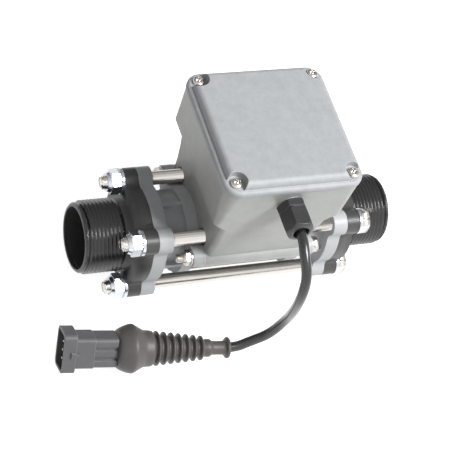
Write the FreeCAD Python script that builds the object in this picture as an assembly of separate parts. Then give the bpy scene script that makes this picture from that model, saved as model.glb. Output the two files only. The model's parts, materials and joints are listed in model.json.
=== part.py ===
"""Turbine flow meter: a clamped pipe section with a cast sensor housing, a cable gland and a
sealed connector.

The pipe runs along X, the flow goes towards +X, the cable gland faces -Y and +Z is up.  The
origin lies on the surface that the meter stands on, under the middle of the pipe.  Everything is
built round the pipe axis and then lifted to its height.  All lengths are in millimetres.
"""
import FreeCAD, Part
import math
import os

V = FreeCAD.Vector
X_AXIS = V(1, 0, 0)
Y_AXIS = V(0, 1, 0)
Z_AXIS = V(0, 0, 1)

# ---------------------------------------------------------------- driving sizes
# Clearances between separate pieces
slip = 0.05             # radial play of a piece slipped into a bore
seal_play = 0.1         # side play of a seal in its groove
shaft_play = 0.04       # radial running clearance of the rotor shaft in its bushes
tip_play = 0.5          # gap between blade tips and the flow tube
bolt_play = 0.5         # radial play of a bolt in its hole

# Clamping flanges and tie bolts (M8)
rod_offset = 21.3       # tie bolt axes lie at this distance each way from the pipe axis
tie_r = 4.0             # M8 shank
tie_head_af = 13.0
tie_head_h = 5.3
tie_nut_h = 7.6         # locking nut
tie_end = 12.3          # bolt end beyond the flange on the nut side
tie_washer_r = 7.6
tie_washer_t = 1.6
lobe_r = 7.2            # flange lobe round each tie bolt
flange_disc_r = 28.7    # flange disc between the lobes
lobe_blend_r = 5.0      # hollow rounding where a lobe leaves the disc
nipple_flange_t = 8.2
body_flange_t = 8.0
boss_h = 0.5            # raised pad round each bolt on the inner face of the body flange

# Threaded nipples (1 1/4 inch parallel pipe thread)
thread_r = 20.955       # crest radius
bore_r = 17.8
neck_len = 5.0
neck_r = 20.6
thread_len = 21.4
land_len = 2.3          # plain lead-in before the first thread
land_r = 20.1
mouth_chamfer = 1.0

# Body pieces between the flanges and the housing
web_len = 13.1          # length of the open ribbed stretch
hub_r = 22.6
rib_r = 25.4
rib_t = 2.2
disc_r = 25.4
disc_t = 7.2

# Clamp bolts through the housing (M5)
clamp_y = 28.8
clamp_z = 12.8
clamp_r = 2.5
clamp_head_af = 8.0
clamp_head_h = 3.5
clamp_nut_h = 4.0
clamp_end = 9.0         # bolt end beyond the ear on the nut side
clamp_washer_r = 5.0
clamp_washer_t = 1.0
ear_r = 5.7             # end radius and half width of the arm under each clamp bolt
rod_gap = 1.2           # free space round a tie bolt where it passes the discs and the housing

# Flow tube
tube_r = 19.4
tube_wall = 2.4
tube_into_body = 14.0   # length of the tube inside each body piece
tube_seal_w = 2.2
tube_seal_depth = 1.1
tube_seal_at = 3.6      # seal centre, from the housing face

# Flange seals
flange_seal_r = 21.4    # middle radius
flange_seal_w = 2.6
flange_seal_t = 1.8

# Cast housing
housing_len = 60.0      # between the two inner discs
belly_r = 24.4          # cast cylinder round the flow tube
roll_r = 5.5            # rolls round the clamp bolts
box_top = 85.5          # upper face, above the pipe axis
box_half = 41.0         # half width at the upper face
box_corner_r = 9.0
wall_draft = 2.7        # the walls lean in by this much from the upper face to the waist
waist_z = 57.0          # underside of the box, at the outer edge
shelf_z = 52.0          # underside of the box, where it meets the neck
neck_half_y = 37.7
neck_corner_r = 9.0
hip_z = 34.0
hip_half_y = 35.0
foot_z = 24.0
foot_half_y = 33.5
foot_corner_r = 6.0
root_z = 15.0
root_half_y = 32.2
root_corner_r = 3.0
wall_t = 3.2
cavity_floor_z = 31.0

# Lid
gasket_t = 0.5
gasket_w = 3.6
lid_overhang = 0.4      # the lid's edge beyond the box
lid_rim_t = 3.6
lid_edge_round = 2.0
panel_inset = 2.4       # foot of the raised panel, from the lid's edge
panel_slope = 0.4       # the panel's sides lean in by this much
panel_base_corner_r = 7.0
panel_top_corner_r = 6.6
panel_round = 3.6       # rounding between the sides and the top
panel_h = 4.2
lid_shell_t = 2.4
lid_recess_r = 5.4      # scalloped pocket round each lid screw
lid_screw_inset = 6.4   # screw axis, from the side of the box
lid_screw_r = 2.0
lid_screw_len = 14.0
lid_head_r = 3.3
lid_head_h = 2.2
column_r = 6.0          # screw columns inside the box
column_h = 24.0

# Rotor and its supports
rotor_hub_r = 6.0
rotor_len = 18.0
blade_count = 5
blade_t = 1.4
blade_twist = 55.0      # degrees over the rotor's length
shaft_r = 1.5
shaft_overhang = 7.0    # shaft beyond each end of the hub
rotor_gap = 1.5         # between the rotor hub and each support hub
bush_r = 3.0
bush_len = 7.5
vane_count = 6
vane_t = 1.2
support_ring_t = 1.3
nose_len = 8.0
snap_ring_t = 1.2
snap_ring_depth = 0.9
snap_ring_w = 2.0
snap_inset = 5.5        # snap ring, from the housing's end plane inwards

# Electronics
pickup_r = 5.0
pickup_flange_r = 7.5
pickup_flange_t = 2.0
pickup_floor = 1.2      # metal left between pickup pocket and tube bore
pickup_len = 14.0
board_half = 26.0
board_t = 1.6
board_z = 60.0
post_r = 3.0
post_at = 21.0
board_screw_r = 1.25
board_head_r = 2.4
board_head_h = 1.8

# Cable gland (M12) on the front wall
gland_drop = 11.1       # gland axis below the box's upper face
gland_thread_r = 6.0
gland_spigot_r = 5.4
gland_af = 15.0
gland_base_t = 5.2
gland_nut_len = 13.0
gland_dome = 3.4        # rounded end of the nut
gland_bore_r = 3.3
gland_shank_len = 11.0
gland_locknut_t = 4.0
gland_seat_t = 1.2      # cast pad under the gland
gland_pad_t = 1.2       # cast pad under the lock nut, inside
gland_seat_r = 7.2
gland_flare = 1.4       # widening of the nut's mouth round the cable
gland_flare_len = 5.0
seal_sleeve_r = 4.6
seal_sleeve_len = 7.0

# Cable, boot and connector
cable_d = 5.8
cable_lead = 9.5        # straight run from the seal sleeve
cable_route = [(-1.1, -71.8, 99.9), (0.1, -80.3, 92.3), (-0.5, -84.8, 80.3), (2.8, -81.5, 60.6),
               (6.2, -75.9, 41.4), (1.3, -74.9, 25.5), (-7.9, -73.5, 17.3), (-16.7, -74.4, 14.0),
               (-25.9, -73.2, 14.0)]
boot_mouth = (-20.0, -73.9, 14.0)
boot_yaw = 172.64       # degrees from +X, seen from above
boot_end_r = 6.1
boot_end_len = 2.4
boot_neck_r = 3.9
boot_neck_end = 11.0
boot_collar_r = 5.1
bellows_start = 14.8
bellows_pitch = 4.33
bellows_count = 7
bellows_first_r = 7.1
bellows_last_r = 9.9
bellows_depth = 2.3
cup_start_r = 10.2
cup_cone_at = 50.4      # the cup widens from here
cup_r = 14.0
cup_at = 57.3
cup_end = 66.6
cup_lip_r = 10.9
cup_end_r = 8.6
boot_bore_r = 3.1
boot_bore_len = 6.0
plug_tail_r = 7.2       # round tail of the connector inside the boot
plug_tail_len = 8.0
plug_roll = -56.0       # the connector lies turned about its own axis
plug_w = 17.8
plug_h = 14.4
plug_corner_r = 2.6
plug_groove = 1.0
plug_groove_w = 2.3
plug_groove_at = 2.9
plug_rear_len = 13.1
plug_step = 0.4         # middle block beyond the rear block, each way
plug_mid_len = 10.6
collar_w = 23.5
collar_h = 16.6
collar_len = 7.2
collar_wall = 1.4
lug_len = 4.4
lug_w = 3.4
lug_h = 1.0
pin_r = 0.6
pin_len = 4.5
pin_pitch = 5.0
pin_count = 3

# ---------------------------------------------------------------- worked-out stations
axis_height = rod_offset + tie_washer_r
half_housing = housing_len / 2
ear_face = half_housing + disc_t
plate_inner = ear_face + web_len
joint_face = plate_inner + body_flange_t
outer_face = joint_face + nipple_flange_t
nipple_end = outer_face + neck_len + thread_len + land_len
tube_bore_r = tube_r - tube_wall
tube_end = half_housing + tube_into_body
waist_half = box_half - wall_draft
lid_half = box_half + lid_overhang
lid_corner_r = box_corner_r + lid_overhang
panel_base_half = lid_half - panel_inset
panel_top_half = panel_base_half - panel_slope
lid_base = box_top + gasket_t
rim_top = lid_base + lid_rim_t
lid_screw_at = box_half - lid_screw_inset
gland_z = box_top - gland_drop
rod_places = [(y, z) for z in (rod_offset, -rod_offset) for y in (-rod_offset, rod_offset)]
clamp_places = [(-clamp_y, clamp_z), (clamp_y, clamp_z)]
corner_places = [(x, y) for x in (-lid_screw_at, lid_screw_at) for y in (-lid_screw_at, lid_screw_at)]
post_places = [(x, y) for x in (-post_at, post_at) for y in (-post_at, post_at)]


# ---------------------------------------------------------------- helpers
def rod(radius, start, end, y=0.0, z=0.0):
    """A round bar along X."""
    return Part.makeCylinder(radius, end - start, V(start, y, z), X_AXIS)


def pipe(outer, inner, start, end, y=0.0, z=0.0):
    """A tube along X."""
    return rod(outer, start, end, y, z).cut(rod(inner, start, end, y, z))


def fuse_all(shapes):
    """One solid from several that touch or overlap."""
    result = shapes[0].multiFuse(shapes[1:]) if len(shapes) > 1 else shapes[0]
    return result.removeSplitter()


def turned(profile):
    """A solid of revolution about X from (x, radius) points."""
    wire = Part.makePolygon([V(x, 0, r) for x, r in profile + [profile[0]]])
    return Part.Face(wire).revolve(V(0, 0, 0), X_AXIS, 360)


def mirrored(shape):
    """The same shape on the other side of the housing."""
    return shape.mirror(V(0, 0, 0), X_AXIS)


def hexagon(across_flats, start, end, y=0.0, z=0.0):
    """A hexagonal prism along X with chamfered corners at both ends."""
    corner = across_flats / math.sqrt(3)
    angles = [math.radians(60 * i + 30) for i in range(7)]
    wire = Part.makePolygon([V(start, y + corner * math.cos(a), z + corner * math.sin(a)) for a in angles])
    prism = Part.Face(wire).extrude(V(end - start, 0, 0))
    cut = corner - across_flats / 2
    bevel = min(cut * 0.6, (end - start) / 3)
    barrel = turned([(start, 0), (start, corner - cut), (start + bevel, corner), (end - bevel, corner),
                     (end, corner - cut), (end, 0)])
    barrel.translate(V(0, y, z))
    return prism.common(barrel)


def rounded_rectangle(half_x, half_y, radius, z):
    """A closed wire in a level plane."""
    flat_x = half_x - radius
    flat_y = half_y - radius
    diagonal = radius * math.sqrt(0.5)
    edges = []
    for sx, sy in ((1, 1), (-1, 1), (-1, -1), (1, -1)):
        middle = V(sx * (flat_x + diagonal), sy * (flat_y + diagonal), z)
        on_side = V(sx * half_x, sy * flat_y, z)
        on_end = V(sx * flat_x, sy * half_y, z)
        first, last = (on_side, on_end) if sx * sy > 0 else (on_end, on_side)
        edges.append((first, middle, last))
    shape = []
    for i, (first, middle, last) in enumerate(edges):
        shape.append(Part.Arc(first, middle, last).toShape())
        shape.append(Part.LineSegment(last, edges[(i + 1) % 4][0]).toShape())
    return Part.Wire(shape)


def frustum(sections):
    """A drafted block between level rounded rectangles (half_x, half_y, radius, z)."""
    blocks = []
    for low, high in zip(sections[:-1], sections[1:]):
        blocks.append(Part.makeLoft([rounded_rectangle(*low), rounded_rectangle(*high)], True, True))
    return fuse_all(blocks)


def tangent_strip(radius, other_y, other_z, other_r, start, end):
    """A bar along X whose section wraps a circle on the pipe axis and a smaller one beside it."""
    away = math.atan2(other_z, other_y)
    span = math.acos((radius - other_r) / math.hypot(other_y, other_z))

    def on_big(angle):
        return V(start, radius * math.cos(angle), radius * math.sin(angle))

    def on_small(angle):
        return V(start, other_y + other_r * math.cos(angle), other_z + other_r * math.sin(angle))

    outline = Part.Wire([
        Part.Arc(on_small(away - span), on_small(away), on_small(away + span)).toShape(),
        Part.LineSegment(on_small(away + span), on_big(away + span)).toShape(),
        Part.Arc(on_big(away + span), on_big(away + math.pi), on_big(away - span)).toShape(),
        Part.LineSegment(on_big(away - span), on_small(away - span)).toShape()])
    return Part.Face(outline).extrude(V(end - start, 0, 0))


def lobed_plate(start, end):
    """Flange blank: a disc with a lobe round each tie bolt, blended where they meet."""
    parts = [rod(flange_disc_r, start, end)]
    parts += [rod(lobe_r, start, end, y, z) for y, z in rod_places]
    plate = fuse_all(parts)
    corners = []
    for edge in plate.Edges:
        first, last = edge.Vertexes[0].Point, edge.Vertexes[-1].Point
        off_disc = abs(math.hypot(first.y, first.z) - flange_disc_r)
        off_lobe = min(abs(math.hypot(first.y - y, first.z - z) - lobe_r) for y, z in rod_places)
        if abs(first.x - last.x) > slip and max(off_disc, off_lobe) < slip:
            corners.append(edge)
    return plate.makeFillet(lobe_blend_r, corners)


def drill(shape, places, radius, start, end):
    """Cut a hole along X at each (y, z) place."""
    return shape.cut(Part.makeCompound([rod(radius, start, end, y, z) for y, z in places]))


def save(name, shape):
    """Lift a shape from the pipe axis to its height and write it as one node."""
    placed = shape.copy()
    placed.translate(V(0, 0, axis_height))
    save_placed(name, placed)


def save_placed(name, shape):
    """Write a shape that already stands at its place."""
    if not shape.isValid():
        print("NOT VALID", name)
    shape.exportStep("parts/" + name + ".step")
    saved[name] = len(shape.Solids)


# ---------------------------------------------------------------- clamped pipe section
def make_nipple():
    """Threaded nipple with its clamping flange, on the +X side."""
    neck_end = outer_face + neck_len
    thread_end = neck_end + thread_len
    barrel = turned([(joint_face, bore_r), (joint_face, neck_r), (neck_end, neck_r), (neck_end, thread_r),
                     (thread_end, thread_r), (thread_end, land_r), (nipple_end - mouth_chamfer, land_r),
                     (nipple_end, land_r - mouth_chamfer), (nipple_end, bore_r)])
    plate = lobed_plate(joint_face, outer_face).cut(rod(bore_r, joint_face, outer_face))
    return drill(fuse_all([barrel, plate]), rod_places, tie_r + bolt_play, joint_face, outer_face)


def clamp_arm(y, z):
    """Arm of the inner disc that reaches out to a clamp bolt."""
    reach = math.hypot(y, z)
    bar = Part.makeBox(disc_t, reach, 2 * ear_r, V(half_housing, 0, -ear_r))
    bar.rotate(V(0, 0, 0), X_AXIS, math.degrees(math.atan2(z, y)))
    return bar.fuse(rod(ear_r, half_housing, ear_face, y, z))


def make_body():
    """Moulded body piece on the +X side: lobed flange, ribbed hub, inner disc and clamp ears."""
    plate = [lobed_plate(plate_inner, joint_face)]
    plate += [rod(lobe_r, plate_inner - boss_h, plate_inner, y, z) for y, z in rod_places]
    hub = rod(hub_r, half_housing, joint_face)
    disc = [rod(disc_r, half_housing, ear_face)]
    disc += [clamp_arm(y, z) for y, z in clamp_places]
    ribs = []
    for turn in (0, 90):
        rib = Part.makeBox(web_len, rib_t, 2 * rib_r, V(ear_face, -rib_t / 2, -rib_r))
        rib.rotate(V(0, 0, 0), X_AXIS, turn)
        ribs.append(rib)
    body = fuse_all(plate + [hub] + disc + ribs)
    body = body.cut(rod(tube_r + slip, half_housing, tube_end))
    body = body.cut(rod(tube_bore_r, tube_end, joint_face))
    body = drill(body, rod_places, tie_r + bolt_play, plate_inner - boss_h, joint_face)
    body = drill(body, rod_places, tie_r + rod_gap, half_housing, ear_face)
    body = drill(body, clamp_places, clamp_r + bolt_play, half_housing, ear_face)
    groove_in = flange_seal_r - flange_seal_w / 2 - seal_play
    groove_out = flange_seal_r + flange_seal_w / 2 + seal_play
    return body.cut(pipe(groove_out, groove_in, joint_face - flange_seal_t, joint_face))


def make_flange_seal():
    """Face seal between nipple and body piece, on the +X side."""
    inner = flange_seal_r - flange_seal_w / 2
    return pipe(inner + flange_seal_w, inner, joint_face - flange_seal_t, joint_face)


def seal_span():
    """Start and end of the flow tube's seal groove on the +X side."""
    middle = half_housing + tube_seal_at
    return middle - tube_seal_w / 2, middle + tube_seal_w / 2


def make_flow_tube():
    """Smooth tube that carries the rotor, with seal grooves outside and snap ring grooves inside."""
    tube = pipe(tube_r, tube_bore_r, -tube_end, tube_end)
    start, end = seal_span()
    seal_groove = pipe(tube_r, tube_r - tube_seal_depth, start - seal_play, end + seal_play)
    snap_groove = pipe(tube_bore_r + snap_ring_depth, tube_bore_r, snap_start, snap_start + snap_ring_t)
    for groove in (seal_groove, snap_groove):
        tube = tube.cut(groove).cut(mirrored(groove))
    return tube


def make_tube_seal():
    """Ring seal in the flow tube's groove, on the +X side."""
    start, end = seal_span()
    return pipe(tube_r, tube_r - tube_seal_depth, start, end)


# ---------------------------------------------------------------- cast housing and lid
def housing_outline():
    """The outer form of the casting: box, narrower neck, belly round the tube and side rolls."""
    upper = frustum([(half_housing, neck_half_y, neck_corner_r, shelf_z),
                     (waist_half, waist_half, box_corner_r, waist_z),
                     (box_half, box_half, box_corner_r, box_top)])
    lower = frustum([(half_housing, root_half_y, root_corner_r, root_z),
                     (half_housing, foot_half_y, foot_corner_r, foot_z),
                     (half_housing, hip_half_y, neck_corner_r, hip_z),
                     (half_housing, neck_half_y, neck_corner_r, shelf_z)])
    rolls = [tangent_strip(belly_r, y, z, roll_r, -half_housing, half_housing) for y, z in clamp_places]
    return fuse_all([upper, lower] + rolls)


def wall_y(height):
    """Y of the front wall's outer face at a height above the pipe axis."""
    share = (height - waist_z) / (box_top - waist_z)
    return -(waist_half + share * (box_half - waist_half))


def make_housing():
    """Cast sensor housing with its board cavity, pickup pocket, posts and bolt holes."""
    body = housing_outline()
    inner_corner = box_corner_r - wall_t
    inner_x = half_housing - wall_t
    step_z = waist_z + wall_t / 2
    cavity = fuse_all([
        frustum([(inner_x, hip_half_y - wall_t, neck_corner_r - wall_t, cavity_floor_z),
                 (inner_x, neck_half_y - wall_t, neck_corner_r - wall_t, step_z)]),
        frustum([(waist_half - wall_t, waist_half - wall_t, inner_corner, step_z),
                 (box_half - wall_t, box_half - wall_t, inner_corner, box_top)])])
    columns = [Part.makeCylinder(column_r, column_h, V(x, y, box_top - column_h)) for x, y in corner_places]
    posts = [Part.makeCylinder(post_r, board_z - cavity_floor_z, V(x, y, cavity_floor_z))
             for x, y in post_places]
    cavity = cavity.cut(Part.makeCompound(columns)).cut(Part.makeCompound(posts))
    seat = Part.makeCylinder(gland_seat_r, gland_wall_t, V(0, gland_face, gland_z), Y_AXIS)
    body = body.cut(cavity).fuse(seat).removeSplitter()
    body = body.cut(rod(tube_r + slip, -half_housing, half_housing))
    body = drill(body, rod_places[:2], tie_r + rod_gap, -half_housing, half_housing)
    body = drill(body, clamp_places, clamp_r + bolt_play, -half_housing, half_housing)
    pocket_floor = tube_r + slip + pickup_floor
    pocket = Part.makeCylinder(pickup_r + slip, cavity_floor_z - pocket_floor, V(0, 0, pocket_floor))
    gland_hole = Part.makeCylinder(gland_thread_r + slip, gland_wall_t, V(0, gland_face, gland_z), Y_AXIS)
    cutters = [pocket, gland_hole]
    cutters += [Part.makeCylinder(lid_screw_r + slip, lid_screw_len, V(x, y, box_top - lid_screw_len))
                for x, y in corner_places]
    cutters += [Part.makeCylinder(board_screw_r + slip, board_screw_len, V(x, y, board_z - board_screw_len))
                for x, y in post_places]
    return body.cut(Part.makeCompound(cutters))


def make_gasket():
    """Flat seal under the lid's rim."""
    ring = frustum([(box_half, box_half, box_corner_r, box_top), (box_half, box_half, box_corner_r, lid_base)])
    inner = box_half - gasket_w
    hole = frustum([(inner, inner, box_corner_r - gasket_w, box_top),
                    (inner, inner, box_corner_r - gasket_w, lid_base)])
    pads = [Part.makeCylinder(column_r, gasket_t, V(x, y, box_top)) for x, y in corner_places]
    ring = fuse_all([ring.cut(hole)] + pads)
    ring = ring.common(frustum([(box_half, box_half, box_corner_r, box_top),
                                (box_half, box_half, box_corner_r, lid_base)]))
    holes = [Part.makeCylinder(lid_screw_r + slip, gasket_t, V(x, y, box_top)) for x, y in corner_places]
    return ring.cut(Part.makeCompound(holes))


def make_lid():
    """Cast lid: rim, raised panel with a big rounding and a round pocket at each corner screw."""
    rim = frustum([(lid_half, lid_half, lid_corner_r, lid_base), (lid_half, lid_half, lid_corner_r, rim_top)])
    top_edges = [e for e in rim.Edges if min(v.Z for v in e.Vertexes) > rim_top - slip]
    rim = rim.makeFillet(lid_edge_round, top_edges)
    panel_top = rim_top + panel_h
    panel = frustum([(panel_base_half, panel_base_half, panel_base_corner_r, rim_top),
                     (panel_top_half, panel_top_half, panel_top_corner_r, panel_top)])
    ridge = [e for e in panel.Edges if min(v.Z for v in e.Vertexes) > panel_top - slip]
    lid = fuse_all([rim, panel.makeFillet(panel_round, ridge)])
    under = panel_top_half - lid_shell_t
    hollow = frustum([(under, under, panel_top_corner_r, lid_base),
                      (under, under, panel_top_corner_r, panel_top - lid_shell_t)])
    corner_pads = [Part.makeCylinder(lid_recess_r + lid_shell_t, 2 * panel_h + lid_rim_t, V(x, y, lid_base))
                   for x, y in corner_places]
    hollow = hollow.cut(Part.makeCompound(corner_pads))
    pockets = [Part.makeCylinder(lid_recess_r, panel_h, V(x, y, rim_top)) for x, y in corner_places]
    holes = [Part.makeCylinder(lid_screw_r + slip, lid_rim_t, V(x, y, lid_base)) for x, y in corner_places]
    return lid.cut(Part.makeCompound([hollow])).cut(Part.makeCompound(pockets + holes))


def upright_screw(x, y, seat_z, shank_r, shank_len, head_r, head_h, slot_w):
    """Pan-head cross-recess screw standing on its seat."""
    body = turned([(-shank_len, 0), (-shank_len, shank_r), (0, shank_r), (0, head_r), (head_h * 0.5, head_r),
                   (head_h * 0.8, head_r * 0.88), (head_h, head_r * 0.6), (head_h, 0)])
    body.rotate(V(0, 0, 0), Y_AXIS, -90)
    reach = head_r * 1.1
    cross = [Part.makeBox(reach, slot_w, head_h, V(-reach / 2, -slot_w / 2, head_h * 0.5)),
             Part.makeBox(slot_w, reach, head_h, V(-slot_w / 2, -reach / 2, head_h * 0.5))]
    screw = body.cut(Part.makeCompound(cross))
    screw.translate(V(x, y, seat_z))
    return screw


# ---------------------------------------------------------------- fasteners along the pipe
def x_bolt(radius, head_af, head_h, seat, length, y, z):
    """Hexagon-head bolt along X with its head on the +X side of the seat."""
    bevel = radius * 0.3
    shank = turned([(seat - length, 0), (seat - length, radius - bevel), (seat - length + bevel, radius),
                    (seat, radius), (seat, 0)])
    shank.translate(V(0, y, z))
    return shank.fuse(hexagon(head_af, seat, seat + head_h, y, z)).removeSplitter()


def locking_nut(across_flats, hole_r, seat, height, y, z):
    """Hexagon nut on the -X side of the seat, with the round collar of its locking ring."""
    collar = height * 0.25
    flats = hexagon(across_flats, seat - height + collar, seat, y, z)
    top = turned([(seat - height, hole_r), (seat - height, across_flats * 0.4),
                  (seat - height + collar, across_flats * 0.47), (seat - height + collar, hole_r)])
    top.translate(V(0, y, z))
    return flats.cut(rod(hole_r, seat - height, seat, y, z)).fuse(top).removeSplitter()


# ---------------------------------------------------------------- rotor and supports
def blade_section(angle, at_x, radius):
    """Thin radial rectangle for one station of a blade."""
    low = rotor_hub_r * 0.7
    half = blade_t / 2
    corners = [V(at_x, -half, low), V(at_x, half, low), V(at_x, half, radius), V(at_x, -half, radius)]
    wire = Part.makePolygon(corners + [corners[0]])
    wire.rotate(V(0, 0, 0), X_AXIS, angle)
    return wire


def make_rotor():
    """Hub with helical blades, turned to their running radius."""
    tip_r = tube_bore_r - tip_play
    half = rotor_len / 2
    steps = 6
    stations = [(blade_twist * (i / steps - 0.5), rotor_len * (i / steps - 0.5)) for i in range(steps + 1)]
    blade = Part.makeLoft([blade_section(a, x, tip_r * 1.05) for a, x in stations], True, False)
    blades = []
    for i in range(blade_count):
        turned_blade = blade.copy()
        turned_blade.rotate(V(0, 0, 0), X_AXIS, 360.0 / blade_count * i)
        blades.append(turned_blade)
    edge = rotor_hub_r * 0.2
    hub = turned([(-half, 0), (-half, rotor_hub_r - edge), (edge - half, rotor_hub_r),
                  (half - edge, rotor_hub_r), (half, rotor_hub_r - edge), (half, 0)])
    rotor = hub.multiFuse(blades).common(rod(tip_r, -half, half))
    return rotor.cut(rod(shaft_r, -half, half)).removeSplitter()


def make_support(rounded_nose):
    """Vaned support on the +X side that holds a rotor bush; the nose faces away from the rotor."""
    ring_r = tube_bore_r - slip
    hub_end = support_start + vane_len
    nose = nose_len if rounded_nose else nose_len * 0.6
    hub = [rod(rotor_hub_r, support_start, hub_end)]
    dome = turned([(hub_end, 0), (hub_end, rotor_hub_r)]
                  + [(hub_end + nose * math.sin(math.radians(a)), rotor_hub_r * math.cos(math.radians(a)))
                     for a in (15, 30, 45, 60, 75)] + [(hub_end + nose, 0)])
    vanes = []
    for i in range(vane_count):
        vane = Part.makeBox(vane_len, vane_t, ring_r - rotor_hub_r / 2, V(support_start, -vane_t / 2, rotor_hub_r / 2))
        vane.rotate(V(0, 0, 0), X_AXIS, 360.0 / vane_count * (i + 0.5))
        vanes.append(vane)
    ring = pipe(ring_r, ring_r - support_ring_t, support_start, hub_end)
    support = fuse_all(hub + [dome, ring] + vanes).common(rod(ring_r, support_start, hub_end + nose_len))
    return support.cut(rod(bush_r + slip / 2, support_start, support_start + bush_len))


def make_bush():
    """Plain bearing bush in a support hub, on the +X side."""
    return pipe(bush_r, shaft_r + shaft_play, support_start, support_start + bush_len)


def make_snap_ring():
    """Split ring that holds a support in the flow tube, on the +X side."""
    outer = tube_bore_r + snap_ring_depth - slip
    ring = pipe(outer, outer - snap_ring_w, snap_start, snap_start + snap_ring_t)
    gap = Part.makeBox(snap_ring_t, snap_ring_w * 2, outer, V(snap_start, -snap_ring_w, -outer))
    return ring.cut(gap)


# ---------------------------------------------------------------- electronics and gland
def make_pickup():
    """Pickup that senses the passing blades through the wall of its pocket."""
    floor = tube_r + slip + pickup_floor
    stem = Part.makeCylinder(pickup_r, pickup_len, V(0, 0, floor))
    flange = Part.makeCylinder(pickup_flange_r, pickup_flange_t, V(0, 0, cavity_floor_z))
    return stem.fuse(flange).removeSplitter()


def make_board():
    """Circuit board with its main components."""
    board = Part.makeBox(2 * board_half, 2 * board_half, board_t, V(-board_half, -board_half, board_z))
    top = board_z + board_t
    unit = board_half / 13
    chips = [Part.makeBox(7 * unit, 5 * unit, 1.2 * unit, V(-3.5 * unit, -2 * unit, top)),
             Part.makeBox(4.5 * unit, 4.5 * unit, 4 * unit, V(4 * unit, 4 * unit, top)),
             Part.makeBox(8 * unit, 4 * unit, 4 * unit, V(-4 * unit, -12 * unit, top)),
             Part.makeCylinder(2 * unit, 4 * unit, V(-6.5 * unit, 6 * unit, top))]
    board = fuse_all([board] + chips)
    holes = [Part.makeCylinder(board_screw_r + slip, board_t, V(x, y, board_z)) for x, y in post_places]
    return board.cut(Part.makeCompound(holes))


def along_gland(shape):
    """Turn a shape built along X so that it points out of the front wall, with a flat on top."""
    placed = shape.copy()
    placed.rotate(V(0, 0, 0), X_AXIS, 30)
    placed.rotate(V(0, 0, 0), Z_AXIS, -90)
    placed.translate(V(0, gland_face, gland_z))
    return placed


def make_gland_body():
    """Gland body: threaded shank through the wall and hexagonal base."""
    base = hexagon(gland_af, 0, gland_base_t)
    shank = rod(gland_thread_r, -gland_shank_len, 0)
    spigot = rod(gland_spigot_r, gland_base_t, gland_base_t + seal_sleeve_len)
    body = fuse_all([base, shank, spigot])
    body = body.cut(rod(gland_bore_r, -gland_shank_len, gland_base_t))
    return body.cut(rod(seal_sleeve_r + slip, gland_base_t, gland_base_t + seal_sleeve_len))


def make_gland_seal():
    """Rubber sleeve squeezed round the cable."""
    return pipe(seal_sleeve_r, gland_bore_r, gland_base_t, gland_base_t + seal_sleeve_len)


def make_gland_nut():
    """Domed hexagonal nut that clamps the cable."""
    end = gland_base_t + gland_nut_len
    corner = gland_af / math.sqrt(3)
    flats = hexagon(gland_af, gland_base_t, end)
    dome = turned([(gland_base_t, 0), (gland_base_t, corner), (end - gland_dome, corner)]
                  + [(end - gland_dome + gland_dome * math.sin(math.radians(a)),
                      corner - gland_dome * (1 - math.cos(math.radians(a)))) for a in (20, 40, 60, 80)]
                  + [(end, corner - gland_dome), (end, 0)])
    nut = flats.common(dome)
    nut = nut.cut(rod(gland_spigot_r + slip, gland_base_t, gland_base_t + seal_sleeve_len))
    mouth = turned([(gland_base_t, 0), (gland_base_t, gland_bore_r), (end - gland_flare_len, gland_bore_r),
                    (end, gland_bore_r + gland_flare), (end, 0)])
    return nut.cut(mouth)


def make_gland_locknut():
    """Nut on the shank inside the box."""
    nut = hexagon(gland_af, -gland_wall_t - gland_locknut_t, -gland_wall_t)
    return nut.cut(rod(gland_thread_r + slip, -gland_wall_t - gland_locknut_t, -gland_wall_t))


# ---------------------------------------------------------------- cable, boot and connector
def make_cable():
    """Cable tube: straight runs joined by tangent arcs, with its radii and length printed."""
    sleeve_end = gland_face - gland_base_t - seal_sleeve_len
    points = [V(0, sleeve_end, gland_z + axis_height), V(0, sleeve_end - cable_lead, gland_z + axis_height)]
    points += [V(*p) for p in cable_route]
    edges = []
    begin = points[0]
    for before, corner, after in zip(points[:-2], points[1:-1], points[2:]):
        back = (before - corner)
        onward = (after - corner)
        turn = math.pi - back.getAngle(onward)
        setback = 0.45 * min(back.Length, onward.Length)
        radius = setback / math.tan(turn / 2)
        back.normalize()
        onward.normalize()
        arc_in = corner + back * setback
        arc_out = corner + onward * setback
        to_centre = back + onward
        to_centre.normalize()
        centre = corner + to_centre * (radius / math.cos(turn / 2))
        middle = centre - to_centre * radius
        edges.append(Part.LineSegment(begin, arc_in).toShape())
        edges.append(Part.Arc(arc_in, middle, arc_out).toShape())
        begin = arc_out
        print("cable bend radius", round(radius, 1))
    edges.append(Part.LineSegment(begin, points[-1]).toShape())
    path = Part.Wire(edges)
    section = Part.Wire([Part.makeCircle(cable_d / 2, points[0], points[1] - points[0])])
    tube = path.makePipeShell([section], True, True)
    expected = math.pi * cable_d ** 2 / 4 * path.Length
    print("cable length", round(path.Length, 1), "volume ratio", round(tube.Volume / expected, 4))
    return tube


def along_boot(shape, roll=0.0):
    """Place a shape built along X on the boot's axis, turned about that axis first."""
    placed = shape.copy()
    placed.rotate(V(0, 0, 0), X_AXIS, roll)
    placed.rotate(V(0, 0, 0), Z_AXIS, boot_yaw)
    placed.translate(V(*boot_mouth))
    return placed


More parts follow.
